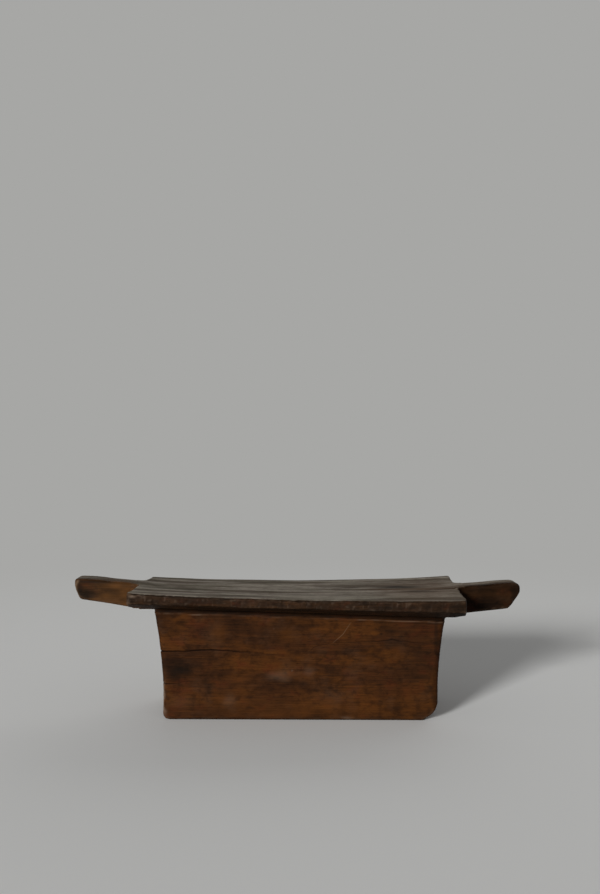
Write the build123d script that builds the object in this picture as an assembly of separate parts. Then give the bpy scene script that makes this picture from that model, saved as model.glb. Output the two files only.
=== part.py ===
from build123d import *
import math
import os

# A headrest carved from one billet of hard wood: a dished head plank with a hand grip at each end,
# on a block whose walls flare gently upwards. Each solid below is one region of that billet, and
# the regions meet face to face. Millimetres. +X runs along the grain to the right-hand grip, +Y to
# the back and +Z up. The origin is the centre of the flat foot.

# Overall
hollow_height = 126.0  # foot to the lowest line of the dished top
hollow_place = 25.0  # that line lies this far to the right of the middle

# Base block
foot_length = 281.0  # along X, where the block stands
foot_depth = 92.0  # along Y, where the block stands
upright_height = 20.0  # the walls rise straight this far before they curve out
end_flare = 8.4  # how far each end wall leans out at the neck
side_flare = 3.2  # how far each long wall leans out at the neck
neck_depth = 16.5  # the block ends this far below the hollow, at mid length
neck_tilt = 1.75  # degrees: its upper end falls towards the right
wall_corner_radius = 6.0  # the four upright corners
foot_edge_radius = 2.0  # round the foot
worn_length = 15.5  # the corner knocked off the foot at the right-hand end, along X
worn_height = 16.5

# Head plank
plank_left = 171.5  # reach from the middle of the foot to the left-hand end
plank_right = 167.0  # and to the right-hand end
plank_depth = 138.0
right_end_skew = 1.8  # degrees: the right-hand end is cut out of square
left_front_rise = 6.7  # how far each corner of the top stands above the hollow
left_back_rise = 3.3
right_front_rise = 0.2
right_back_rise = 5.1
left_edge_height = 10.0  # upright edge of the plank, along its front and back
hollow_edge_height = 8.5
right_edge_height = 12.0
left_end_height = 15.5  # and across its ends
right_end_height = 18.5
neck_overcut = 1.5  # flat ledge between the block's wall and the bevel under the plank
plan_corner_radius = 4.0
upper_edge_radius = 2.5  # knocked off in two narrow flats
lower_edge_radius = 1.5

# Hand grips
grip_offset = 9.5  # both grips lie this far behind the middle of the plank
grip_width = 27.0  # along Y
root_radius = 7.0  # hollow curve where a grip's side runs into the plank's end
root_inset = 5.5  # that hollow stops this far short of the grip's top and underside
grip_edge_radius = 3.5
tip_lower_radius = 4.5
left_grip_length = 71.0
left_grip_sweep = 6.4  # how far the top of the grip climbs from root to tip
left_root_thickness = 24.2
left_tip_thickness = 21.0
left_tip_radius = 5.5  # the tip's upper corner
left_tip_cut_length = 7.0  # how far the tip slants back below
right_grip_length = 67.0
right_grip_sweep = 4.5
right_root_thickness = 27.3
right_tip_thickness = 25.5
right_tip_radius = 8.5
right_tip_cut_length = 13.0

spare = 5.0  # how far a cutting outline runs past what it cuts
touch = 0.01  # an edge this close to a face lies on it

neck_height = hollow_height - neck_depth


def neck_at(x):
    """Height of the neck line, where the block ends and the plank begins, along the block."""
    return neck_height - math.tan(math.radians(neck_tilt)) * x


def flared_outline(foot, flare, top):
    """Upright outline of the block: straight walls at the foot, then arcs that lean outwards."""
    half = foot / 2
    climb = neck_height - upright_height
    radius = (climb**2 + flare**2) / (2 * flare)

    def wall(z):
        return half + radius - math.sqrt(radius**2 - (z - upright_height) ** 2)

    middle = (upright_height + top) / 2
    right_arc = ThreePointArc((half, upright_height), (wall(middle), middle), (wall(top), top))
    left_arc = ThreePointArc((-half, upright_height), (-wall(middle), middle), (-wall(top), top))
    foot_line = Polyline((-half, upright_height), (-half, 0), (half, 0), (half, upright_height))
    return make_face([right_arc, left_arc, foot_line, Line(right_arc @ 1, left_arc @ 1)])


def base_block():
    """The standing block: its side outline and its end outline, cut through each other."""
    half_length = foot_length / 2
    half_depth = foot_depth / 2
    top = neck_at(-half_length - end_flare) + spare
    side = Plane.XZ * flared_outline(foot_length, end_flare, top)
    end = Plane.YZ * flared_outline(foot_depth, side_flare, top)
    block = extrude(side, half_depth + side_flare + spare, both=True)
    block &= extrude(end, half_length + end_flare + spare, both=True)
    upright = block.edges().filter_by(lambda edge: abs(edge.center().X) > half_length - touch)
    corners = upright.filter_by(lambda edge: abs(edge.center().Y) > half_depth - touch)
    block = fillet(corners, wall_corner_radius)

    neck = Plane(origin=(0, 0, neck_height)).rotated((0, neck_tilt, 0))
    block = split(block, neck, keep=Keep.BOTTOM)
    bevel = Plane(origin=(half_length - worn_length, 0, 0), z_dir=(worn_height, 0, -worn_length))
    block = split(block, bevel, keep=Keep.BOTTOM)
    return fillet(block.edges().group_by(Axis.Z)[0], foot_edge_radius)


def plank_section(x, front_rise, back_rise, edge_height):
    """Cross-section of the head plank: flat top, eased edges and a bevel in to the neck."""
    half = plank_depth / 2
    inner = foot_depth / 2 + side_flare + neck_overcut
    front = hollow_height + front_rise
    back = hollow_height + back_rise
    round_off = upper_edge_radius * (1 - math.sqrt(0.5))
    outline = Polyline(
        (-half, front - upper_edge_radius),
        (round_off - half, front - round_off),
        (upper_edge_radius - half, front),
        (half - upper_edge_radius, back),
        (half - round_off, back - round_off),
        (half, back - upper_edge_radius),
        (half, back - edge_height),
        (inner, neck_at(x)),
        (-inner, neck_at(x)),
        (-half, front - edge_height),
        close=True,
    )
    return Plane(origin=(x, 0, 0), x_dir=(0, 1, 0), z_dir=(1, 0, 0)) * make_face(outline)


def end_at(side, y):
    """Where the left (-1) or right (1) end of the plank lies, at a place along its width."""
    if side < 0:
        return -plank_left
    return plank_right + math.tan(math.radians(right_end_skew)) * y


def end_top(side):
    """Height of the plank's top where a grip leaves it, at the left (-1) or right (1) end."""
    front = left_front_rise if side < 0 else right_front_rise
    back = left_back_rise if side < 0 else right_back_rise
    return hollow_height + front + (back - front) * (0.5 + grip_offset / plank_depth)


def end_plane(side):
    """Upright plane of one end of the plank, facing outwards."""
    run = end_at(side, plank_depth) - end_at(side, 0)
    return Plane(origin=(end_at(side, 0), 0, 0), z_dir=(side * plank_depth, -side * run, 0))


def root_width():
    """Width of a grip's root, and of the keel that carries it back under the plank to the block."""
    return grip_width + 2 * root_radius


def root_bottom(side):
    """Height of a grip's underside where it leaves the plank, and of the keel behind it."""
    return end_top(side) - (left_root_thickness if side < 0 else right_root_thickness)


def end_bevel(side):
    """The wedge hewn from under one end of the plank, on both sides of the keel."""
    inner = foot_length / 2 + end_flare + neck_overcut
    outer = abs(end_at(side, 0))
    start = neck_at(side * inner)
    edge_height = left_end_height if side < 0 else right_end_height
    slope = (end_top(side) - edge_height - start) / (outer - inner)
    far = abs(end_at(side, plank_depth / 2)) + spare
    wedge = Polyline(
        (side * inner, start),
        (side * far, start + slope * (far - inner)),
        (side * far, start - spare),
        (side * inner, start - spare),
        close=True,
    )
    return extrude(Plane.XZ * make_face(wedge), plank_depth / 2 + spare, both=True)


def keel(side, block):
    """What is left standing under one end of the plank, from the block's wall to the grip's root."""
    inner = foot_length / 2 - spare
    outer = abs(end_at(side, plank_depth / 2)) + spare
    outline = Polyline(
        (side * inner, root_bottom(side)),
        (side * outer, root_bottom(side)),
        (side * outer, end_top(side) - spare),
        (side * inner, end_top(side) - spare),
        close=True,
    )
    bar = Pos(0, grip_offset, 0) * extrude(Plane.XZ * make_face(outline), root_width() / 2, both=True)
    return split(bar, end_plane(side), keep=Keep.BOTTOM) - block


def head_plank(block):
    """The dished plank: lofted from end to end through the hollow, then cut to plan and bevelled."""
    half = plank_depth / 2
    plank = loft(
        [
            plank_section(end_at(-1, half), left_front_rise, left_back_rise, left_edge_height),
            plank_section(hollow_place, 0, 0, hollow_edge_height),
            plank_section(end_at(1, half), right_front_rise, right_back_rise, right_edge_height),
        ]
    )
    outer = plank.edges().filter_by(lambda edge: abs(edge.center().Y) > half - touch)
    lower = outer.filter_by(lambda edge: edge.length > plank_left).sort_by(Axis.Z)[:2]
    plank = fillet(lower, lower_edge_radius)
    plan = make_face(
        Polyline(
            (end_at(-1, -half), -half),
            (end_at(1, -half), -half),
            (end_at(1, half), half),
            (end_at(-1, half), half),
            close=True,
        )
    )
    plan = fillet(plan.vertices(), plan_corner_radius)
    plank &= extrude(plan, 2 * hollow_height)
    for side in (-1, 1):
        plank -= end_bevel(side)
        plank += keel(side, block)
    return plank


def grip_outline(side, length, sweep, thickness, radius, cut_length):
    """Side outline of a grip: an upswept top in two arcs, a round nose and a slanted tip."""
    root = abs(end_at(side, 0))
    inner = root - spare
    level = root + root_radius + spare
    tip = root + length
    root_top = end_top(side)
    tip_top = root_top + sweep
    tip_bottom = tip_top - thickness
    crown = tip - radius
    shoulder = tip_top - radius
    diagonal = radius * math.sqrt(0.5)
    middle = (side * (level + crown) / 2, root_top + sweep / 2)
    underside_slope = (tip_bottom - root_bottom(side)) / (length - cut_length)
    outline = [
        Line((side * inner, root_top), (side * level, root_top)),
        TangentArc((side * level, root_top), middle, tangent=(side, 0)),
        TangentArc((side * crown, tip_top), middle, tangent=(-side, 0)),
        ThreePointArc(
            (side * crown, tip_top),
            (side * (crown + diagonal), shoulder + diagonal),
            (side * tip, shoulder),
        ),
        TangentArc((side * tip, shoulder), (side * (tip - cut_length), tip_bottom), tangent=(0, -1)),
        Polyline(
            (side * (tip - cut_length), tip_bottom),
            (side * inner, root_bottom(side) - underside_slope * spare),
            (side * inner, root_top),
        ),
    ]
    face = make_face(outline)
    heel = face.vertices().sort_by_distance((side * (tip - cut_length), tip_bottom))[0]
    return fillet(heel, tip_lower_radius)


def root_web(side):
    """The hollow curves beside a grip's root, drawn in plan and raised through its sides."""
    root = abs(end_at(side, 0))
    inner = side * (root - spare)
    outer = side * (root + root_radius + spare)
    low = grip_offset - grip_width / 2
    high = grip_offset + grip_width / 2
    past_low = grip_offset - root_width() / 2
    past_high = grip_offset + root_width() / 2
    plan = make_face(
        Polyline(
            (inner, past_low - spare),
            (end_at(side, past_low - spare), past_low - spare),
            (end_at(side, low), low),
            (outer, low),
            (outer, high),
            (end_at(side, high), high),
            (end_at(side, past_high + spare), past_high + spare),
            (inner, past_high + spare),
            close=True,
        )
    )
    sides = plan.vertices().filter_by(
        lambda corner: abs(abs(corner.Y - grip_offset) - grip_width / 2) < touch
    )
    notches = sides.filter_by(lambda corner: abs(corner.X) < root + spare)
    bottom = root_bottom(side) + root_inset
    height = end_top(side) - root_inset - bottom
    return Pos(0, 0, bottom) * extrude(fillet(notches, root_radius), height)


def handle(side, length, sweep, thickness, radius, cut_length):
    """A hand grip: its side outline, thickened and eased along its edges, and its hollow root."""
    outline = grip_outline(side, length, sweep, thickness, radius, cut_length)
    bar = Pos(0, grip_offset, 0) * extrude(Plane.XZ * outline, grip_width / 2, both=True)
    cheeks = bar.faces().filter_by(Plane.XZ)
    back = abs(end_at(side, 0)) - spare
    rims = [edge for face in cheeks for edge in face.edges() if abs(edge.center().X) > back + touch]
    bar = fillet(rims, grip_edge_radius) + root_web(side)
    return split(bar, end_plane(side), keep=Keep.TOP)


os.makedirs("parts", exist_ok=True)
block = base_block()
nodes = {
    "base_block": block,
    "head_plank": head_plank(block),
    "left_handle": handle(
        -1,
        left_grip_length,
        left_grip_sweep,
        left_tip_thickness,
        left_tip_radius,
        left_tip_cut_length,
    ),
    "right_handle": handle(
        1,
        right_grip_length,
        right_grip_sweep,
        right_tip_thickness,
        right_tip_radius,
        right_tip_cut_length,
    ),
}
for name, solid in nodes.items():
    solid.label = name
    export_step(solid, f"parts/{name}.step")
    box = solid.bounding_box()
    print(name, round(solid.volume), box.min, box.max)
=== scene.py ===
import math

import bmesh
import bpy
import numpy as np
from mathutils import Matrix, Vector


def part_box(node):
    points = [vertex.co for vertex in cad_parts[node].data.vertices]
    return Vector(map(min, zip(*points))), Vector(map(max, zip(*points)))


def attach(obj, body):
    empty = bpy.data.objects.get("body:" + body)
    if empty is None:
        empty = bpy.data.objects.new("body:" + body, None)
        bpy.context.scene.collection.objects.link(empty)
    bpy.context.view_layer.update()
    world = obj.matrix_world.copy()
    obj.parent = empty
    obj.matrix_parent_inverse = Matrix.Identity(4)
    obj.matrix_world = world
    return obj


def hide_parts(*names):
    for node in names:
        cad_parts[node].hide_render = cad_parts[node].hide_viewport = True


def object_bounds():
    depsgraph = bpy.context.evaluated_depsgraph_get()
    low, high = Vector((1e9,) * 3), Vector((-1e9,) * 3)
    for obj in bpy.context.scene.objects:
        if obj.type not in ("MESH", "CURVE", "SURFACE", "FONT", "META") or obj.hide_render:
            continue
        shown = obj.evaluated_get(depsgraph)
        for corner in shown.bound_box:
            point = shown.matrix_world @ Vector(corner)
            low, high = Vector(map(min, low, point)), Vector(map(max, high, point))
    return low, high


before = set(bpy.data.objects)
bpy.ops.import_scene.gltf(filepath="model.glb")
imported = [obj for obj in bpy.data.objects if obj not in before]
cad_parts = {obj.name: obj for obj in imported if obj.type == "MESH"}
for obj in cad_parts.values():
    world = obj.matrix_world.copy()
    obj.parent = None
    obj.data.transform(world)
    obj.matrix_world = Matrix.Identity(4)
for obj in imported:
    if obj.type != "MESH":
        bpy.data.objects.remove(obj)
cad_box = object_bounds()

# ---------------------------------------------------------------------------------------------
# The billet
# One length of a hard, close-grained brown wood, with the grain along X. The whole headrest is
# hewn from it with an adze, pared with a knife and rubbed smooth, so it is worked here as one
# skin, and its four regions are parted only when their cutting is done.
# ---------------------------------------------------------------------------------------------

MM = 0.001
skin_step = 1.25  # mesh spacing, about the width of the finest knife mark
eased_rounds = 4  # how far rubbing has softened every arris
hollow_radius = 9.0  # of the hollow beside each grip's root
hollow_steps = 8


def points_of(mesh):
    """Vertex places in millimetres."""
    flat = np.empty(3 * len(mesh.vertices))
    mesh.vertices.foreach_get("co", flat)
    return flat.reshape(-1, 3) / MM


def normals_of(mesh):
    """The way each vertex faces."""
    flat = np.empty(3 * len(mesh.vertices))
    mesh.vertex_normals.foreach_get("vector", flat)
    return flat.reshape(-1, 3)


def move_points(mesh, points):
    """Sets the vertices, given in millimetres, but never outside the box of the solids."""
    low, high = (np.array(corner) / MM for corner in cad_box)
    mesh.vertices.foreach_set("co", (np.clip(points, low, high) * MM).ravel())
    mesh.update()


def relaxed(mesh, values, rounds, pull=0.5):
    """Each row of values drawn towards the mean of its neighbours, rounds times."""
    ends = np.empty(2 * len(mesh.edges), np.int64)
    mesh.edges.foreach_get("vertices", ends)
    one, other = ends.reshape(-1, 2).T
    size = len(mesh.vertices)
    count = np.bincount(one, minlength=size) + np.bincount(other, minlength=size)
    values = values.reshape(size, -1).copy()
    for _ in range(rounds):
        for column in range(values.shape[1]):
            line = values[:, column]
            total = np.bincount(one, line[other], size) + np.bincount(other, line[one], size)
            values[:, column] += pull * (total / count - line)
    return values


def lumps(points, size, seed):
    """Smooth noise from 0 to 1, in lumps of the given length, width and height in millimetres."""
    place = points / np.array(size) + 100.0
    cell = np.floor(place).astype(np.int64)
    part = place - cell
    part = part * part * (3 - 2 * part)
    total = np.zeros(len(points))
    for corner in np.ndindex(2, 2, 2):
        x, y, z = (cell + corner).T
        mixed = x * 374761393 + y * 668265263 + z * 1440662683 + seed * 974634777
        mixed = (mixed ^ (mixed >> 13)) * 1274126177 & 0x7FFFFFFF
        mixed = mixed ^ (mixed >> 16)
        weight = np.prod(np.where(corner, part, 1 - part), axis=1)
        total += weight * (mixed & 0xFFFF) / 0xFFFF
    return total


def ramp(values, low, high):
    """0 at low and 1 at high, whichever is greater, with eased ends."""
    share = np.clip((values - low) / (high - low), 0, 1)
    return share * share * (3 - 2 * share)


def root_hollow(grip, towards):
    """What the carver left beside a grip's root: a hollow curve from its side to the plank's end."""
    points = points_of(grip.data)
    inner = (points[:, 0] * towards).min()
    ring = points[points[:, 0] * towards < inner + 1]
    low, high = ring.min(axis=0), ring.max(axis=0)
    cheeks = points[points[:, 0] * towards > inner + 3 * hollow_radius]
    solid = bmesh.new()
    for out, cheek in ((-1, cheeks[:, 1].min()), (1, cheeks[:, 1].max())):
        corners = [(inner - 2, cheek - 2 * out), (inner - 2, cheek + out * hollow_radius)]
        for step in range(hollow_steps + 1):
            turn = math.radians(90 * step / hollow_steps)
            along = inner + hollow_radius * (1 - math.cos(turn))
            corners.append((along, cheek + out * hollow_radius * (1 - math.sin(turn))))
        corners.append((inner + hollow_radius, cheek - 2 * out))
        sides = []
        for height in (low[2] + 1, high[2]):
            sides.append([solid.verts.new((x * towards * MM, y * MM, height * MM)) for x, y in corners])
        solid.faces.new(sides[0])
        solid.faces.new(sides[1])
        for here, corner in enumerate(sides[0]):
            after = (here + 1) % len(corners)
            solid.faces.new((corner, sides[0][after], sides[1][after], sides[1][here]))
    bmesh.ops.recalc_face_normals(solid, faces=solid.faces)
    mesh = bpy.data.meshes.new("root_hollow")
    solid.to_mesh(mesh)
    solid.free()
    return mesh


rough = bmesh.new()
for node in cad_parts.values():
    rough.from_mesh(node.data)
for name, towards in (("left_handle", -1), ("right_handle", 1)):
    rough.from_mesh(root_hollow(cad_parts[name], towards))
joined = bpy.data.meshes.new("joined")
rough.to_mesh(joined)
rough.free()
holder = bpy.data.objects.new("billet", joined)
bpy.context.scene.collection.objects.link(holder)
skin = holder.modifiers.new("skin", "REMESH")
skin.mode = "VOXEL"
skin.voxel_size = skin_step * MM
skin.use_smooth_shade = True
graph = bpy.context.evaluated_depsgraph_get()
billet = bpy.data.meshes.new_from_object(holder.evaluated_get(graph), depsgraph=graph)
bpy.data.objects.remove(holder)
marks = ("crack", "stain_and_shadow", "amber_and_shade", "rub_and_highlight", "scratch_and_highlight", "handled", "wear", "dirt_and_shade")
for mark in marks:
    billet.attributes.new(mark, "FLOAT", "POINT")

# rubbing eases the arrises, and each pass back keeps the bulk
pass_back = -0.53
at = points_of(billet)
for _ in range(eased_rounds):
    at = relaxed(billet, relaxed(billet, at, 1), 1, pass_back)
move_points(billet, at)
adze_marks = 0.7 * lumps(at, (58, 36, 26), 1)
knife_marks = 0.35 * lumps(at, (23, 14, 12), 2)
mean_depth = 0.9  # taken off again, so that the wood neither shrinks nor grows
hewing = adze_marks + knife_marks - mean_depth
grain_relief = 0.26 * lumps(at, (60, 2.6, 2.6), 3)
off_floor = ramp(at[:, 2], 0.5, 4.0)
move_points(billet, at - normals_of(billet) * ((hewing + grain_relief) * off_floor)[:, None])

# wood left proud: a place, how far round it that reaches along each axis, and the shift there
for place, reach, shift in (
    ((-194, 10, 134), (16, 30, 10), (0, 0, 2.6)),  # the grips' tops, with no dip at their roots
    ((186, 10, 132), (14, 30, 10), (0, 0, 1.8)),
    ((-238, 10, 134), (4, 40, 4), (-1.5, 0, 1.5)),  # the upper corners of their tips
    ((230, 10, 130), (4, 40, 4), (1.3, 0, 0.6)),
    ((-171.5, -66, 122), (2.5, 26, 12), (-1.8, 0, 0)),  # the front corners of the plank
    ((165, -66, 120), (2.5, 22, 12), (1.4, 0, 0)),
    ((132.6, 0, 9.8), (5, 200, 5), (1.7, 0, -1.7)),  # the rounded corner of the foot
):
    at = points_of(billet)
    near = np.exp(-0.5 * (((at - place) / reach) ** 2).sum(axis=1))
    move_points(billet, at + near[:, None] * np.array(shift))

# the grips' lower front arrises are crisp: each underside's height at the root, and its rise
arris_shift = 1.1
at = points_of(billet)
tip = points_of(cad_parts["left_handle"].data)
grip_face = tip[tip[:, 0] < -200, 1].min()
for side, root, low, rise in ((-1, 171.5, 106.6, 0.157), (1, 167.0, 101.9, 0.12)):
    beyond = at[:, 0] * side - root
    above = at[:, 2] - low - rise * beyond
    arris = ramp(beyond, -1, 4) * ramp(above, 5.0, 1.2) * ramp(at[:, 1] - grip_face, 5.0, 1.2)
    at[:, 1:] -= arris_shift * arris[:, None]

# the right-hand tip is cut off at a slant below its nose
nose_place, nose_height = 235, 126
slant_out, slant_down = 0.796, 0.607  # the way the cut faces
past = (at[:, 0] - nose_place) * slant_out - (at[:, 2] - nose_height) * slant_down
shave = 0.7 * np.maximum(past, 0) * (at[:, 0] > 200)
at[:, 0] -= slant_out * shave
at[:, 2] += slant_down * shave
move_points(billet, at)


# ---------------------------------------------------------------------------------------------
# Block
# The standing block, from the foot to the neck under the head plank. Its walls were hewn with the
# grain lying level, then darkened by smoke and oil. It has opened in drying checks from its ends.
# ---------------------------------------------------------------------------------------------

def paint(mesh, mark, values):
    """Lays values from 0 to 1 over what a mark already holds."""
    layer = mesh.attributes[mark].data
    held = np.empty(len(mesh.vertices))
    layer.foreach_get("value", held)
    layer.foreach_set("value", np.clip(np.maximum(held, values), 0, 1))


def blot(mark, patches, facing, begins):
    """Soft, ragged patches on one side of the billet. A patch is two places across that side, two
    half sizes and a strength. facing is the axis it faces along, and begins where it starts."""
    places = points_of(billet)
    side = np.flatnonzero(places[:, facing] * np.sign(begins) > abs(begins))
    at = places[side]
    seen = [axis for axis in range(3) if axis != facing]
    ragged = at + np.stack([7 * lumps(at, (13, 9, 8), seed) - 3.5 for seed in (31, 32, 33)], axis=1)
    total = np.zeros(len(places))
    for one, other, long, tall, strength in patches:
        reach = np.hypot((ragged[:, seen[0]] - one) / long, (ragged[:, seen[1]] - other) / tall)
        total[side] = np.maximum(total[side], ramp(reach, 1.5, 0.1) * strength)
    paint(billet, mark, total * ramp(places[:, facing], begins, begins * 1.06))


def near_line(points, line, facing):
    """Distance to a line of points seen along one axis, and the share of its length there."""
    flat = np.delete(points, facing, axis=1)
    best = np.full(len(points), 1e9)
    share = np.zeros(len(points))
    spans = [math.dist(one, other) for one, other in zip(line, line[1:])]
    run = 0.0
    for one, other, span in zip(line, line[1:], spans):
        one, other = np.array(one, float), np.array(other, float)
        along = np.clip((flat - one) @ (other - one) / span**2, 0, 1)
        gap = np.linalg.norm(flat - one - along[:, None] * (other - one), axis=1)
        closer = gap < best
        best[closer] = gap[closer]
        share[closer] = (run + along[closer] * span) / sum(spans)
        run += span
    return best, share


def split_open(checks, facing, begins):
    """Drying checks on one side: each is its line, its width and depth, and whether it starts open
    at an end of the wood or closes at both ends. The skin is cut finer where they run."""
    at = points_of(billet)
    side = at[:, facing] * np.sign(begins) > abs(begins)
    close = np.zeros(len(at), bool)
    for line, _, _, _ in checks:
        close[side] |= near_line(at[side], line, facing)[0] < 2.4
    work = bmesh.new()
    work.from_mesh(billet)
    work.verts.ensure_lookup_table()
    near = {work.verts[place] for place in np.flatnonzero(close)}
    edges = [edge for edge in work.edges if edge.verts[0] in near and edge.verts[1] in near]
    bmesh.ops.subdivide_edges(work, edges=edges, cuts=2, use_grid_fill=True)
    work.to_mesh(billet)
    work.free()

    at = points_of(billet)
    side = np.flatnonzero(at[:, facing] * np.sign(begins) > abs(begins))
    near = at[side]
    sway = [1.4 * lumps(near, (9, 8, 8), seed) - 0.7 for seed in (11, 12, 13)]
    wander = near + np.stack(sway, axis=1)
    turn_in = ramp(near[:, facing], begins, begins * 1.03)
    depth, dark = np.zeros(len(at)), np.zeros(len(at))
    for line, width, sink, opens in checks:
        gap, share = near_line(wander, line, facing)
        fade = ramp(share, 1.0, 0.3) if opens else np.sin(np.pi * share) ** 0.6
        inside = np.exp(-((gap / width) ** 2)) * fade * turn_in
        depth[side] = np.maximum(depth[side], inside * sink)
        dark[side] = np.maximum(dark[side], inside * min(1.0, 2 * sink))
    paint(billet, "crack", dark)
    move_points(billet, at - normals_of(billet) * depth[:, None])


def set_wear():
    """Marks the arrises that hands and floors have rubbed, and darkens the hollows and inner corners.
    """
    places = points_of(billet)
    swell = np.einsum("ij,ij->i", places - relaxed(billet, places, 10), normals_of(billet))
    paint(billet, "wear", ramp(swell, 0.15, 0.8))
    paint(billet, "dirt_and_shade", ramp(-swell, 0.08, 0.6))


def cut_across(work, cut, clear):
    """Cuts along a plane, takes off what lies outside it if asked, and gives the edges it leaves."""
    everything = work.verts[:] + work.edges[:] + work.faces[:]
    place, outwards = Vector(cut[0]) * MM, Vector(cut[1])
    made = bmesh.ops.bisect_plane(
        work, geom=everything, plane_co=place, plane_no=outwards, clear_outer=clear
    )
    return [part for part in made["geom_cut"] if isinstance(part, bmesh.types.BMEdge)]


def cap(work, rim):
    """Closes a cut with flat faces that have sharp edges."""
    for face in bmesh.ops.edgeloop_fill(work, edges=rim)["faces"]:
        face.smooth = False
        for edge in face.edges:
            edge.smooth = False


def gap_outside(place, cut):
    """How far outside a cut's plane something lies, in metres."""
    return (place - Vector(cut[0]) * MM).dot(Vector(cut[1]))


def lift_out(work, neck, ends):
    """Takes out what lies below the neck and between two upright ends, and caps the notch."""
    cuts = (neck, *ends)
    for cut in cuts:
        cut_across(work, cut, False)
    taken = []
    for face in work.faces:
        middle = face.calc_center_median()
        if all(gap_outside(middle, cut) < 0 for cut in cuts):
            taken.append(face)
    bmesh.ops.delete(work, geom=taken, context="FACES")
    rim = [edge for edge in work.edges if edge.is_boundary]
    rim_vertices = {vertex for edge in rim for vertex in edge.verts}
    touch = 1e-6  # metres: a vertex this close to a plane lies on it
    lying_on = {}
    for cut in cuts:
        lying_on[cut] = {v for v in rim_vertices if abs(gap_outside(v.co, cut)) < touch}
    # where the neck meets an end, the notch has an inner corner from cheek to cheek
    for end_cut in ends:
        corners = sorted(lying_on[neck] & lying_on[end_cut], key=lambda corner: corner.co.y)
        for pair in zip(corners[::2], corners[1::2]):
            rim.append(work.edges.new(pair))
    for cut in cuts:
        cap(work, [edge for edge in rim if lying_on[cut].issuperset(edge.verts)])


def part_off(name, cuts, node, material, lifted=None):
    """Cuts one region out of the billet with planes, caps it and puts it in the node's place. A cut
    is a place on its plane and the way out of it. lifted is the neck and the ends of a notch."""
    work = bmesh.new()
    work.from_mesh(billet)
    for cut in cuts:
        cap(work, cut_across(work, cut, True))
    if lifted:
        lift_out(work, *lifted)
    mesh = bpy.data.meshes.new(name)
    work.to_mesh(mesh)
    work.free()
    mesh.materials.append(material)
    piece = bpy.data.objects.new(name, mesh)
    bpy.context.scene.collection.objects.link(piece)
    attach(piece, "root")
    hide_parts(node)


def linear(code):
    """A written sRGB colour as the linear one that a shader takes."""
    parts = [int(code[place:place + 2], 16) / 255 for place in (1, 3, 5)]
    curved = [part / 12.92 if part <= 0.04045 else ((part + 0.055) / 1.055) ** 2.4 for part in parts]
    return curved + [1.0]


def add(tree, kind, settings, inputs):
    """Adds a node with its settings, sets or links each input named, and gives its outputs."""
    node = tree.nodes.new(kind)
    for key, value in settings.items():
        setattr(node, key, value)
    for key, value in inputs.items():
        if isinstance(value, bpy.types.NodeSocket):
            tree.links.new(value, node.inputs[key])
        else:
            node.inputs[key].default_value = value
    return node.outputs


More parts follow.
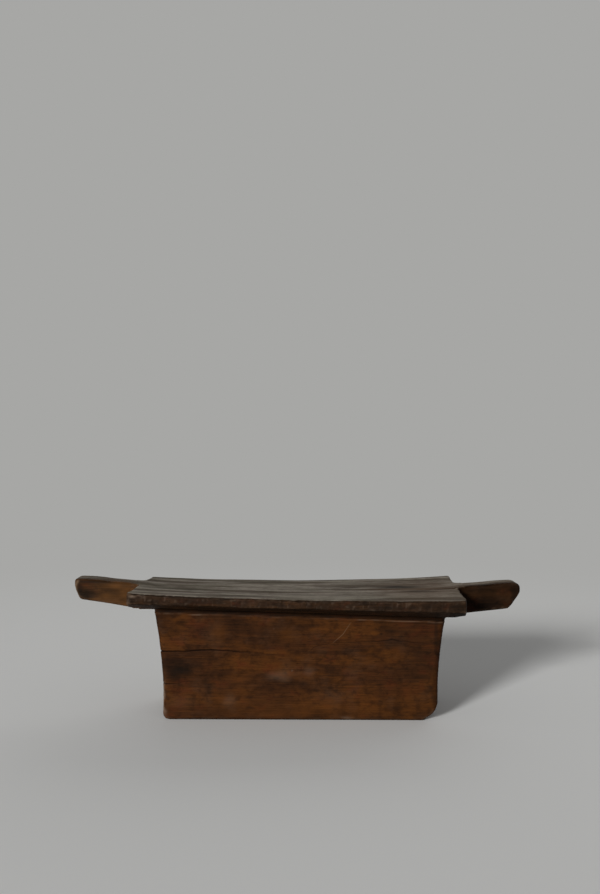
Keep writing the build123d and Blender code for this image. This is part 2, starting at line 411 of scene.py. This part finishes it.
def rubbed_hardwood(name, heart, dark, amber_and_shade, gloss, shine):
    """A dense tropical hardwood, pared, darkened by smoke and hands, and greyed on top by air and
    dust. Its fibres and growth lines run along X, so they are fine streaks on the sides and arcs on
    the ends. It is dry and matt, with a low sheen at a slant. Its real pores are 0.1 mm wide and a
    few millimetres long, too fine to show, so they are drawn about ten times as wide."""
    material = bpy.data.materials.new(name)
    material.use_nodes = True
    tree = material.node_tree
    tree.nodes.clear()
    place = add(tree, "ShaderNodeTexCoord", {}, {})["Object"]
    facing = add(tree, "ShaderNodeTexCoord", {}, {})["Normal"]
    mark = {
        name: add(tree, "ShaderNodeAttribute", {"attribute_name": name}, {})["Fac"] for name in marks
    }

    # length, width and height of one streak or blotch in mm, detail, and where its pattern starts
    figure = {
        "broad": (90, 40, 30, 3.0, 0.0),
        "cloud": (26, 19, 17, 5.0, 3.0),
        "band": (95, 7.0, 5.0, 3.0, 5.0),
        "streak": (130, 13, 40, 3.5, 25.0),
        "fibre": (34, 2.2, 1.5, 2.0, 9.0),
        "pore": (7, 1.1, 0.9, 1.0, 13.0),
        "mottle": (8.0, 6.0, 6.0, 4.0, 17.0),
        "film": (24, 20, 20, 4.0, 29.0),
        "warp": (160, 30, 26, 2.0, 21.0),
    }
    for key, (long, wide, tall, detail, start) in figure.items():
        scale = [1 / (side * MM) for side in (long, wide, tall)]
        stretched = add(
            tree,
            "ShaderNodeMapping",
            {},
            {"Vector": place, "Location": (start, start, start), "Scale": scale},
        )[0]
        figure[key] = add(
            tree,
            "ShaderNodeTexNoise",
            {},
            {"Vector": stretched, "Scale": 1.0, "Detail": detail, "Roughness": 0.6},
        )["Fac"]

    # growth rings 3.1 mm apart, about a pith that lay behind and below the billet
    from_pith = add(
        tree, "ShaderNodeVectorMath", {"operation": "SUBTRACT"}, {0: place, 1: (0, 0.12, -0.06)}
    )[0]
    across = add(
        tree, "ShaderNodeVectorMath", {"operation": "MULTIPLY"}, {0: from_pith, 1: (0, 1, 1)}
    )[0]
    reach = add(tree, "ShaderNodeVectorMath", {"operation": "LENGTH"}, {0: across})["Value"]
    ring_turn = 2 * math.pi / (3.1 * MM)
    turns = add(tree, "ShaderNodeMath", {"operation": "MULTIPLY"}, {0: reach, 1: ring_turn})[0]
    turns = add(
        tree, "ShaderNodeMath", {"operation": "MULTIPLY_ADD"}, {0: figure["warp"], 1: 34.0, 2: turns}
    )[0]
    figure["ring"] = add(tree, "ShaderNodeMath", {"operation": "SINE"}, {0: turns})[0]

    # each layer of colour: what it follows, where that starts and ends, how strong it gets
    side_layers = (
        (figure["broad"], 0.42, 0.62, 0.60, amber_and_shade),
        (figure["cloud"], 0.45, 0.68, 0.65, dark),
        (figure["cloud"], 0.47, 0.28, 0.45, "#4F220E"),
        (figure["film"], 0.50, 0.72, 0.40, "#452F20"),
        (figure["band"], 0.46, 0.72, 0.24, dark),
        (figure["ring"], 0.00, 1.00, 0.12, dark),
        (figure["fibre"], 0.46, 0.70, 0.28, dark),
        (figure["fibre"], 0.48, 0.30, 0.26, amber_and_shade),
        (figure["mottle"], 0.46, 0.70, 0.52, dark),
        (figure["pore"], 0.58, 0.70, 0.35, "#0E0602"),
        (mark["amber_and_shade"], 0.0, 1.0, 0.85, amber_and_shade),
        (mark["rub_and_highlight"], 0.0, 1.0, 0.60, "#7D6B5B"),
    )
    # the top's greys are partly weathering and partly a painted sheen, standing in for the grey
    # reflection that the top's high roughness damps
    top_layers_with_sheen = (
        (figure["streak"], 0.42, 0.58, 0.70, "#A09789"),
        (figure["streak"], 0.50, 0.38, 0.62, "#45382A"),
        (figure["broad"], 0.46, 0.62, 0.35, "#5F5B49"),
        (figure["film"], 0.50, 0.70, 0.40, "#6D5C55"),
        (figure["cloud"], 0.48, 0.70, 0.40, "#4B3F33"),
        (figure["band"], 0.48, 0.66, 0.32, "#41362C"),
        (figure["fibre"], 0.46, 0.66, 0.40, "#3B3327"),
        (figure["pore"], 0.56, 0.68, 0.45, "#251E17"),
        (mark["amber_and_shade"], 0.0, 1.0, 0.60, "#5A4534"),
        (mark["rub_and_highlight"], 0.0, 1.0, 0.50, "#9B9385"),
    )
    stacks = []
    for colour, layers in ((linear(heart), side_layers), (linear("#726A5F"), top_layers_with_sheen)):
        for source, low, high, strength, code in layers:
            share = add(
                tree,
                "ShaderNodeMapRange",
                {"interpolation_type": "SMOOTHSTEP"},
                {"Value": source, "From Min": low, "From Max": high, "To Max": strength},
            )[0]
            colour = add(
                tree, "ShaderNodeMix", {"data_type": "RGBA"}, {0: share, 6: colour, 7: linear(code)}
            )[2]
        stacks.append(colour)

    # the grey goes on the faces that look up on the top: partly greying by air and dust, partly painted
    # sheen
    upward = add(tree, "ShaderNodeSeparateXYZ", {}, {0: facing})["Z"]
    height = add(tree, "ShaderNodeSeparateXYZ", {}, {0: place})["Z"]
    level = add(
        tree,
        "ShaderNodeMapRange",
        {"interpolation_type": "SMOOTHSTEP"},
        {"Value": upward, "From Min": 0.78, "From Max": 0.96},
    )[0]
    weathered_and_sheen = add(
        tree,
        "ShaderNodeMapRange",
        {"interpolation_type": "SMOOTHSTEP"},
        {"Value": height, "From Min": 0.116, "From Max": 0.119, "To Max": level},
    )[0]
    weathered_and_sheen = add(
        tree,
        "ShaderNodeMapRange",
        {},
        {"Value": mark["handled"], "To Min": weathered_and_sheen, "To Max": 0.0},
    )[0]
    colour = add(
        tree, "ShaderNodeMix", {"data_type": "RGBA"}, {0: weathered_and_sheen, 6: stacks[0], 7: stacks[1]}
    )[2]
    patchy = add(
        tree,
        "ShaderNodeMapRange",
        {"interpolation_type": "SMOOTHSTEP"},
        {"Value": figure["mottle"], "From Min": 0.40, "From Max": 0.62, "To Max": mark["wear"]},
    )[0]
    for source, strength, code in (
        (mark["stain_and_shadow"], 0.85, "#0F0B07"),
        (mark["dirt_and_shade"], 0.80, "#0A0502"),
        (patchy, 0.50, "#5A4636"),
        (mark["crack"], 0.95, "#050201"),
        (mark["scratch_and_highlight"], 0.40, "#8C745C"),
    ):
        share = add(tree, "ShaderNodeMath", {"operation": "MULTIPLY"}, {0: source, 1: strength})[0]
        colour = add(
            tree, "ShaderNodeMix", {"data_type": "RGBA"}, {0: share, 6: colour, 7: linear(code)}
        )[2]

    roughness = add(
        tree,
        "ShaderNodeMapRange",
        {},
        {
            "Value": figure["mottle"],
            "From Min": 0.3,
            "From Max": 0.7,
            "To Min": 0.62 - gloss,
            "To Max": 0.78 - gloss,
        },
    )[0]
    roughness = add(
        tree,
        "ShaderNodeMapRange",
        {},
        {"Value": weathered_and_sheen, "To Min": roughness, "To Max": 0.95},
    )[0]
    relief = add(
        tree,
        "ShaderNodeMath",
        {"operation": "MULTIPLY_ADD"},
        {0: figure["pore"], 1: -0.6, 2: figure["fibre"]},
    )[0]
    bump = add(
        tree, "ShaderNodeBump", {}, {"Strength": 0.6, "Distance": 0.4 * MM, "Height": relief}
    )[0]
    shader = add(
        tree,
        "ShaderNodeBsdfPrincipled",
        {},
        {
            "Base Color": colour,
            "Roughness": roughness,
            "IOR": 1.45,
            "Specular IOR Level": shine,
            "Normal": bump,
        },
    )[0]
    add(tree, "ShaderNodeOutputMaterial", {}, {"Surface": shader})
    return material


front, end, top = 1, 0, 2  # the axis that each side faces along
scratch_line = [(33, 79), (43.8, 88.5), (52, 101)]

split_open(
    [
        (
            [(-150, 69), (-142, 69.2), (-123, 70.3), (-100, 71.4), (-84, 71.2), (-50, 69), (0, 65.7)],
            0.55,
            1.1,
            True,
        ),
        ([(-150, 37), (-139, 36.9), (-125, 36.9), (-114, 40)], 0.45, 0.6, True),
        ([(5, 66.5), (13.7, 74.9), (24, 77.4), (33, 79)], 0.4, 0.2, False),
        (scratch_line, 0.4, 0.0, False),
        ([(46, 80.5), (79, 81.6), (94, 83.6), (102, 81.6), (133, 78.4)], 0.5, 0.35, False),
        ([(150, 68), (143, 67.6), (136, 68.4)], 0.5, 0.7, True),
        ([(150, 35), (145, 35.4), (140, 35)], 0.5, 0.7, True),
    ],
    front,
    -40,
)
split_open(
    [
        ([(150, 58), (118, 57), (70, 60.5), (12, 58)], 0.55, 1.1, True),
        ([(-150, 84), (-112, 86), (-78, 85.4)], 0.5, 0.8, True),
        ([(-60, 31), (-22, 33), (25, 30)], 0.4, 0.3, False),
    ],
    front,
    40,
)
split_open(
    [
        ([(-50, 70), (-34, 69), (-12, 64), (9, 66)], 0.55, 1.0, True),
        ([(-50, 37), (-38, 36.5), (-22, 40)], 0.45, 0.6, True),
        ([(50, 84), (30, 82), (12, 85)], 0.45, 0.7, True),
    ],
    end,
    -138,
)
split_open([([(50, 58), (26, 60), (-4, 55)], 0.5, 0.9, True)], end, 138)
at = points_of(billet)
gap, share = near_line(at, scratch_line, front)
fine_line = np.exp(-((gap / 0.3) ** 2)) * np.sin(np.pi * share) ** 0.5
paint(billet, "scratch_and_highlight", 0.7 * fine_line * ramp(at[:, 1], -40, -42))

# the wall ends in a thin lip under the neck and is pared back above it; painted shade darkens that
# strip and the scribed line where the plank shades them
block_points = points_of(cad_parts["base_block"].data)
neck_left = block_points[block_points[:, 2].argmax()]
neck_right = block_points[block_points[:, 0].argmax()]
neck_fall = (neck_left[2] - neck_right[2]) / (neck_right[0] - neck_left[0])
neck_height = neck_left[2] + neck_fall * neck_left[0]
below = neck_height - neck_fall * at[:, 0] - at[:, 2] + 0.8 * lumps(at, (24, 16, 16), 6) - 0.4
on_wall = ramp(np.abs(at[:, 1]), 42, 45) * ramp(np.abs(at[:, 1]), 56, 52)
broken = 0.15 + 0.85 * ramp(lumps(at, (34, 30, 30), 5) * lumps(at, (7, 9, 9), 9), 0.12, 0.42)
lip_place, scribed_place = 4.4, 6.3  # below the neck line
lip = 0.4 * np.exp(-(((below - lip_place) / 0.9) ** 2)) * broken
scribed = 0.6 * np.exp(-(((below - scribed_place) / 0.6) ** 2)) * broken
undercut = 1.5 * ramp(below, 3.9, 2.9) * ramp(below, -4, 0)
move_points(billet, at - normals_of(billet) * ((scribed + undercut - lip) * on_wall)[:, None])
painted_neck_shade = 0.85 * ramp(below, 4.0, 3.2) * ramp(at[:, 2], 121, 118)
paint(billet, "dirt_and_shade", (1.2 * scribed + painted_neck_shade) * on_wall)
# a painted highlight along the lip, where it catches the light
paint(billet, "rub_and_highlight", 0.5 * np.exp(-(((below - 4.5) / 0.6) ** 2)) * on_wall * broken)

# painted shade under the plank: faces that look down are darkened, and the keels between the block's
# ends and the grips most
from_middle = np.abs(at[:, 0])
shaded_under_plank = ramp(from_middle, 171, 166) * ramp(at[:, 2], 101, 104)
facing_down_shade = ramp(normals_of(billet)[:, 2], -0.25, -0.6)
keel_shade = ramp(from_middle, 147, 151) * ramp(at[:, 2], 115.5, 112.5)
paint(billet, "dirt_and_shade", 0.45 * facing_down_shade * shaded_under_plank)
paint(billet, "dirt_and_shade", 0.9 * keel_shade * shaded_under_plank)

# a dark line is painted along the foot, partly dirt and partly painted contact shadow where it meets
# the floor
paint(billet, "dirt_and_shade", 0.8 * ramp(at[:, 2], 2.4, 0.6))

# the corner of the foot is worn round at the left-hand end
at = points_of(billet)
worn_length, worn_height = 9.0, 5.5
foot_in = 9.3  # the foot stands this far in from the flared end above it
along = (block_points[:, 0].min() + foot_in + worn_length - at[:, 0]) / worn_length
down = (worn_height - at[:, 2]) / worn_height
beyond = np.hypot(np.maximum(along, 0), np.maximum(down, 0))
corner = (along > 0) & (down > 0) & (beyond > 1)
at[corner, 0] += (along[corner] - along[corner] / beyond[corner]) * worn_length
at[corner, 2] += (down[corner] - down[corner] / beyond[corner]) * worn_height
move_points(billet, at)

blot(
    "stain_and_shadow",
    [
        (-124, 51, 19, 13, 1.0),
        (92, 96, 16, 7, 0.55),
        (-100, 90, 7, 5, 0.55),
        (-94, 36, 5, 9, 0.45),
        (-53, 11, 5, 2, 0.6),
        (94, 80, 13, 5, 0.6),
        (125, 68, 18, 9, 0.45),
        (123, 43, 13, 4, 0.5),
        (83.8, 89.8, 1.4, 1.8, 0.9),
        # painted shade down the right-hand edge, where the wall turns away from the light
        (139, 84, 4, 32, 0.75),
        (135.5, 32, 3, 24, 0.5),
        (126, 97, 14, 6, 0.4),
        # painted shade over the right part of the wall, where the light falls off
        (120, 60, 34, 60, 0.25),
    ],
    front,
    -40,
)
blot("stain_and_shadow", [(60, 70, 24, 12, 0.6), (-90, 40, 30, 9, 0.5), (-20, 92, 16, 5, 0.4)], front, 40)
blot("stain_and_shadow", [(-10, 30, 16, 9, 0.6), (20, 90, 12, 8, 0.5)], end, -138)
blot("stain_and_shadow", [(12, 48, 14, 12, 0.6), (-22, 84, 10, 8, 0.5)], end, 138)
blot(
    "amber_and_shade",
    [
        (-123, 104, 13, 3, 0.55),
        (-83, 90, 9, 12, 0.5),
        (-13, 88, 15, 10, 0.45),
        (77, 90, 7, 4, 0.7),
        (71, 71, 6, 3, 0.5),
        (-60, 40, 30, 12, 0.25),
        (110, 25, 22, 9, 0.3),
        (-10, 10, 120, 12, 0.4),
    ],
    front,
    -40,
)
blot("amber_and_shade", [(-40, 60, 30, 14, 0.4), (100, 30, 22, 9, 0.4), (20, 95, 26, 5, 0.4)], front, 40)
blot(
    "rub_and_highlight",
    [
        (-21, 45, 16, 6, 0.3),
        (-71, 19, 8, 10, 0.25),
        (11, 50, 8, 7, 0.25),
        (-120, 20, 16, 10, 0.15),
        (30, 22, 26, 12, 0.12),
        (-28.5, 94, 1.2, 1.2, 0.5),
        (-7.6, 48.6, 1.2, 1.2, 0.5),
        (48, 4, 9, 3, 0.4),
        (-139, 22, 2.6, 19, 1.0),
    ],
    front,
    -40,
)
blot("rub_and_highlight", [(-60, 16, 30, 8, 0.25), (70, 20, 20, 9, 0.2)], front, 40)

set_wear()
block_wood = rubbed_hardwood("smoke_darkened_hardwood", "#3B210E", "#1D0F06", "#55300F", 0.04, 0.06)
neck_cut = ((0, 0, neck_height), (neck_fall, 0, 1))
ledge = 0.8  # the ends are parted halfway across the ledge between wall and plank
block_ends = (
    ((block_points[:, 0].min() - ledge, 0, 0), (-1, 0, 0)),
    ((block_points[:, 0].max() + ledge, 0, 0), (1, 0, 0)),
)
part_off("hewn_block", [neck_cut, *block_ends], "base_block", block_wood)

# ---------------------------------------------------------------------------------------------
# Head plank
# The dished rest, worn smooth by heads and greyed where air, dust and hands reach it. Its front
# edge is knocked about, and one long drying check runs along the top into the right-hand grip.
# ---------------------------------------------------------------------------------------------

split_open(
    [
        ([(21, -6), (60, -5), (85, -4), (127, -7), (168, -7), (186, -5)], 0.6, 1.1, False),
        ([(104, 41), (140, 41), (168, 38)], 0.5, 0.5, False),
        ([(19, 11), (44, 11.6), (66, 11)], 0.5, 0.4, False),
        ([(-150, 30), (-118, 31), (-96, 29.5)], 0.45, 0.3, False),
    ],
    top,
    118,
)

# pits and knocks along the plank's upright edges
plank_low, plank_high = (np.array(corner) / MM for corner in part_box("head_plank"))
at = points_of(billet)
edge_face = ramp(np.abs(at[:, 1]), plank_high[1] - 3.5, plank_high[1] - 1.0)
pits = 0.45 * ramp(lumps(at, (3.4, 3, 3.8), 41), 0.55, 0.9)
pits = pits + 0.5 * ramp(lumps(at, (8, 5, 6), 42), 0.6, 0.9)
ticks = 0.3 * ramp(lumps(at, (1.9, 3, 9), 43), 0.62, 0.9)
depth = edge_face * (pits + ticks)
knocks = np.random.default_rng(7)
for _ in range(70):
    x = knocks.uniform(plank_low[0], plank_high[0])
    y = knocks.choice([plank_low[1], plank_high[1]])
    z = knocks.choice([127.5, 118.0]) + knocks.uniform(-1.5, 2)
    size = knocks.uniform(0.9, 2.6)
    reach = np.linalg.norm((at - (x, y, z)) / (size * 1.7, size, size), axis=1)
    depth = np.maximum(depth, ramp(reach, 1, 0) * size * 0.3)
for x, z, size in (
    (-16.9, 125.5, 2.8),
    (-10.5, 122, 1.8),
    (-169, 130.5, 2.6),
    (-166, 129, 1.8),
    (48, 125, 1.6),
):
    reach = np.linalg.norm((at - (x, plank_low[1], z)) / size, axis=1)
    depth = np.maximum(depth, ramp(reach, 1, 0) * size * 0.4)
move_points(billet, at - normals_of(billet) * depth[:, None])
paint(billet, "rub_and_highlight", 0.35 * edge_face * ramp(lumps(at, (1.7, 3, 3), 44), 0.62, 0.95))
paint(billet, "stain_and_shadow", 0.5 * edge_face * ramp(lumps(at, (9, 6, 5), 45), 0.42, 0.7))

blot(
    "stain_and_shadow",
    [
        (107, 9, 28, 9, 1.0),
        (126, -17, 18, 6, 0.75),
        (42, 11, 26, 3, 0.5),
        (150, -8, 24, 3, 0.6),
        (-60, 44, 26, 4, 0.4),
        (-120, -20, 40, 5, 0.35),
    ],
    top,
    118,
)
# painted shade at the right-hand end of the plank's front edge, where it turns away from the light
blot("stain_and_shadow", [(157, 119, 12, 7, 0.7)], front, -60)
blot(
    "rub_and_highlight",
    [(-168, 128.5, 4, 2.5, 0.9), (-160, 130, 5, 1.5, 0.6), (-171, 119, 1.5, 8, 0.5)],
    front,
    -60,
)
facing = normals_of(billet)
top_arris = ramp(-facing[:, 1], 0.35, 0.6) * ramp(facing[:, 2], 0.25, 0.5) * ramp(at[:, 1], -64, -66)
paint(billet, "stain_and_shadow", 0.8 * top_arris)

set_wear()
# the wide patch over the right part of the top is partly its browner colour and partly painted shade,
# where the light falls off
blot("amber_and_shade", [(146, 20, 8, 8, 0.8), (128, -10, 60, 70, 0.75)], top, 118)
blot("rub_and_highlight", [(-120, -52, 50, 10, 0.5), (10, -50, 60, 9, 0.5)], top, 118)
plank_wood = rubbed_hardwood("handworn_hardwood", "#302013", "#180F08", "#4C3019", 0.06, 0.08)
proud = 2.5  # the plank is parted this far outside its ends, so that its proud corners stay whole
left_cut = ((plank_low[0] - proud, 0, 0), (-1, 0, 0))
right_points = points_of(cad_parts["right_handle"].data)
root = right_points[right_points[:, 0] < right_points[:, 0].min() + 2]
front_root, back_root = root[root[:, 1].argmin()], root[root[:, 1].argmax()]
end_out = Vector((back_root[1] - front_root[1], front_root[0] - back_root[0], 0)).normalized()
right_cut = (tuple(Vector(front_root) + proud * end_out), tuple(end_out))
part_off(
    "dished_plank",
    [left_cut, right_cut],
    "head_plank",
    plank_wood,
    (neck_cut, block_ends),
)

# ---------------------------------------------------------------------------------------------
# Left-hand grip
# A short upswept tongue left standing at the plank's end. The hand that carries the headrest has
# rubbed it smooth and bright, and its tip has gone dark.
# ---------------------------------------------------------------------------------------------

at = points_of(billet)
grip_side = ramp(at[:, 0], plank_low[0] - 2, plank_low[0] - 14)
rubbed_bare = ramp(at[:, 1], 3, -1)
paint(billet, "handled", grip_side * rubbed_bare)
paint(billet, "amber_and_shade", grip_side * (0.1 + 0.8 * lumps(at, (11, 9, 5), 61)) * ramp(at[:, 0], -238, -205))
blot(
    "stain_and_shadow",
    [(-228, 121.5, 11, 7, 0.85), (-235.5, 126, 3.5, 9, 0.8), (-205, 126, 9, 4, 0.3)],
    front,
    -1,
)
# a painted highlight on the rim of the tip, which faces the light
blot("rub_and_highlight", [(-242.5, 128, 2.0, 9, 1.0), (-238, 117, 2, 4, 0.6)], front, -1)
# painted shade: a dark line under the top rim, for a crevice there
gap, share = near_line(at, [(-237, 134.3), (-222, 134.6), (-206, 133.8), (-184, 131.4)], front)
rim_crevice_shade = np.exp(-((gap / 1.4) ** 2)) * ramp(at[:, 1], 1, -2) * ramp(share, 1, 0.5)
paint(billet, "stain_and_shadow", 0.8 * rim_crevice_shade)

# the rim of the tip is painted pale as a painted highlight where it faces the light
gap, share = near_line(at, [(-239, 135), (-241.5, 130), (-241, 124), (-237, 115.5)], front)
paint(billet, "scratch_and_highlight", np.exp(-((gap / 1.2) ** 2)) * ramp(at[:, 1], 3, -1))
left_wood = rubbed_hardwood("hand_polished_hardwood", "#35210F", "#171007", "#5F3D1D", 0.12, 0.06)
outside = (left_cut[0], (1, 0, 0))
part_off("left_grip", [outside], "left_handle", left_wood)

# ---------------------------------------------------------------------------------------------
# Right-hand grip
# Its pair at the other end, thicker at the tip and browner, and painted darker as shade for the weaker
# light at this end.
# ---------------------------------------------------------------------------------------------

grip_side = ramp(at[:, 0], plank_high[0] + 2, plank_high[0] + 14)
paint(billet, "handled", grip_side * rubbed_bare)
paint(billet, "amber_and_shade", grip_side * (0.9 * lumps(at, (13, 9, 6), 62)) * ramp(at[:, 2], 112, 124))
# the patch at (186, 108) is a painted shadow, where the plank's end shades the grip's lower front
blot("stain_and_shadow", [(229, 119, 5, 12, 0.7), (186, 108, 26, 8, 0.6)], front, -1)
shaded_right_wood = rubbed_hardwood("shade_darkened_grip_hardwood", "#160C06", "#0A0502", "#2F1C0C", 0.08, 0.045)
outside = (right_cut[0], tuple(-end_out))
part_off("right_grip", [outside], "right_handle", shaded_right_wood)
bpy.data.meshes.remove(billet)

# ---------------------------------------------------------------------------------------------
# Floor, light and camera
# A shelf of plain pale plaster that runs out into a wall of the same shade. The daylight is soft:
# most comes low from the front left, with a weak, wide share from behind.
# ---------------------------------------------------------------------------------------------

backdrop = "#A7A7A5"
floor_reach = 8.0

floor_mesh = bpy.data.meshes.new("floor")
corners = [(-floor_reach, -floor_reach, 0), (floor_reach, -floor_reach, 0)]
corners += [(floor_reach, floor_reach, 0), (-floor_reach, floor_reach, 0)]
floor_mesh.from_pydata(corners, [], [(0, 1, 2, 3)])
floor = bpy.data.objects.new("floor", floor_mesh)
bpy.context.scene.collection.objects.link(floor)
plaster = bpy.data.materials.new("pale_plaster")
plaster.use_nodes = True
tree = plaster.node_tree
tree.nodes.clear()
matt = add(tree, "ShaderNodeBsdfDiffuse", {}, {"Color": linear("#E9E9E7")})[0]
flat = add(tree, "ShaderNodeEmission", {}, {"Color": linear(backdrop)})[0]
rays = add(tree, "ShaderNodeLightPath", {}, {})
seen = add(
    tree,
    "ShaderNodeMath",
    {"operation": "MAXIMUM"},
    {0: rays["Is Camera Ray"], 1: rays["Is Glossy Ray"]},
)[0]
place = add(tree, "ShaderNodeTexCoord", {}, {})["Object"]
away = add(tree, "ShaderNodeVectorMath", {"operation": "LENGTH"}, {0: place})["Value"]
fade = add(
    tree,
    "ShaderNodeMapRange",
    {"interpolation_type": "SMOOTHSTEP"},
    {"Value": away, "From Min": 0.35, "From Max": 1.3, "To Max": seen},
)[0]
surface = add(tree, "ShaderNodeMixShader", {}, {0: fade, 1: matt, 2: flat})[0]
add(tree, "ShaderNodeOutputMaterial", {}, {"Surface": surface})
floor_mesh.materials.append(plaster)

world = bpy.data.worlds.new("room")
bpy.context.scene.world = world
world.use_nodes = True
tree = world.node_tree
tree.nodes.clear()
rays = add(tree, "ShaderNodeLightPath", {}, {})
seen = add(
    tree,
    "ShaderNodeMath",
    {"operation": "MAXIMUM"},
    {0: rays["Is Camera Ray"], 1: rays["Is Glossy Ray"]},
)[0]
room_light = add(tree, "ShaderNodeBackground", {}, {"Color": (1, 1, 1, 1), "Strength": 0.15})[0]
wall = add(tree, "ShaderNodeBackground", {}, {"Color": linear(backdrop)})[0]
surface = add(tree, "ShaderNodeMixShader", {}, {0: seen, 1: room_light, 2: wall})[0]
add(tree, "ShaderNodeOutputWorld", {}, {"Surface": surface})

for name, towards, strength, spread in (
    ("window", (-0.54, -0.80, 0.28), 3.15, 12),
    ("doorway", (0.35, 0.93, 0.28), 0.8, 70),
):
    daylight = bpy.data.lights.new(name, "SUN")
    daylight.energy = strength
    daylight.angle = math.radians(spread)
    lamp = bpy.data.objects.new(name, daylight)
    lamp.rotation_euler = Vector(towards).to_track_quat("Z", "Y").to_euler()
    bpy.context.scene.collection.objects.link(lamp)

lens = bpy.data.cameras.new("camera")
lens.lens = 35.0
lens.sensor_width = 36.0
camera = bpy.data.objects.new("camera", lens)
camera.location = (0.0116, -0.9329, 0.2789)
camera.rotation_euler = (math.radians(90), 0, math.radians(0.75))
bpy.context.scene.collection.objects.link(camera)
bpy.context.scene.camera = camera
bpy.context.scene.view_settings.view_transform = "Standard"
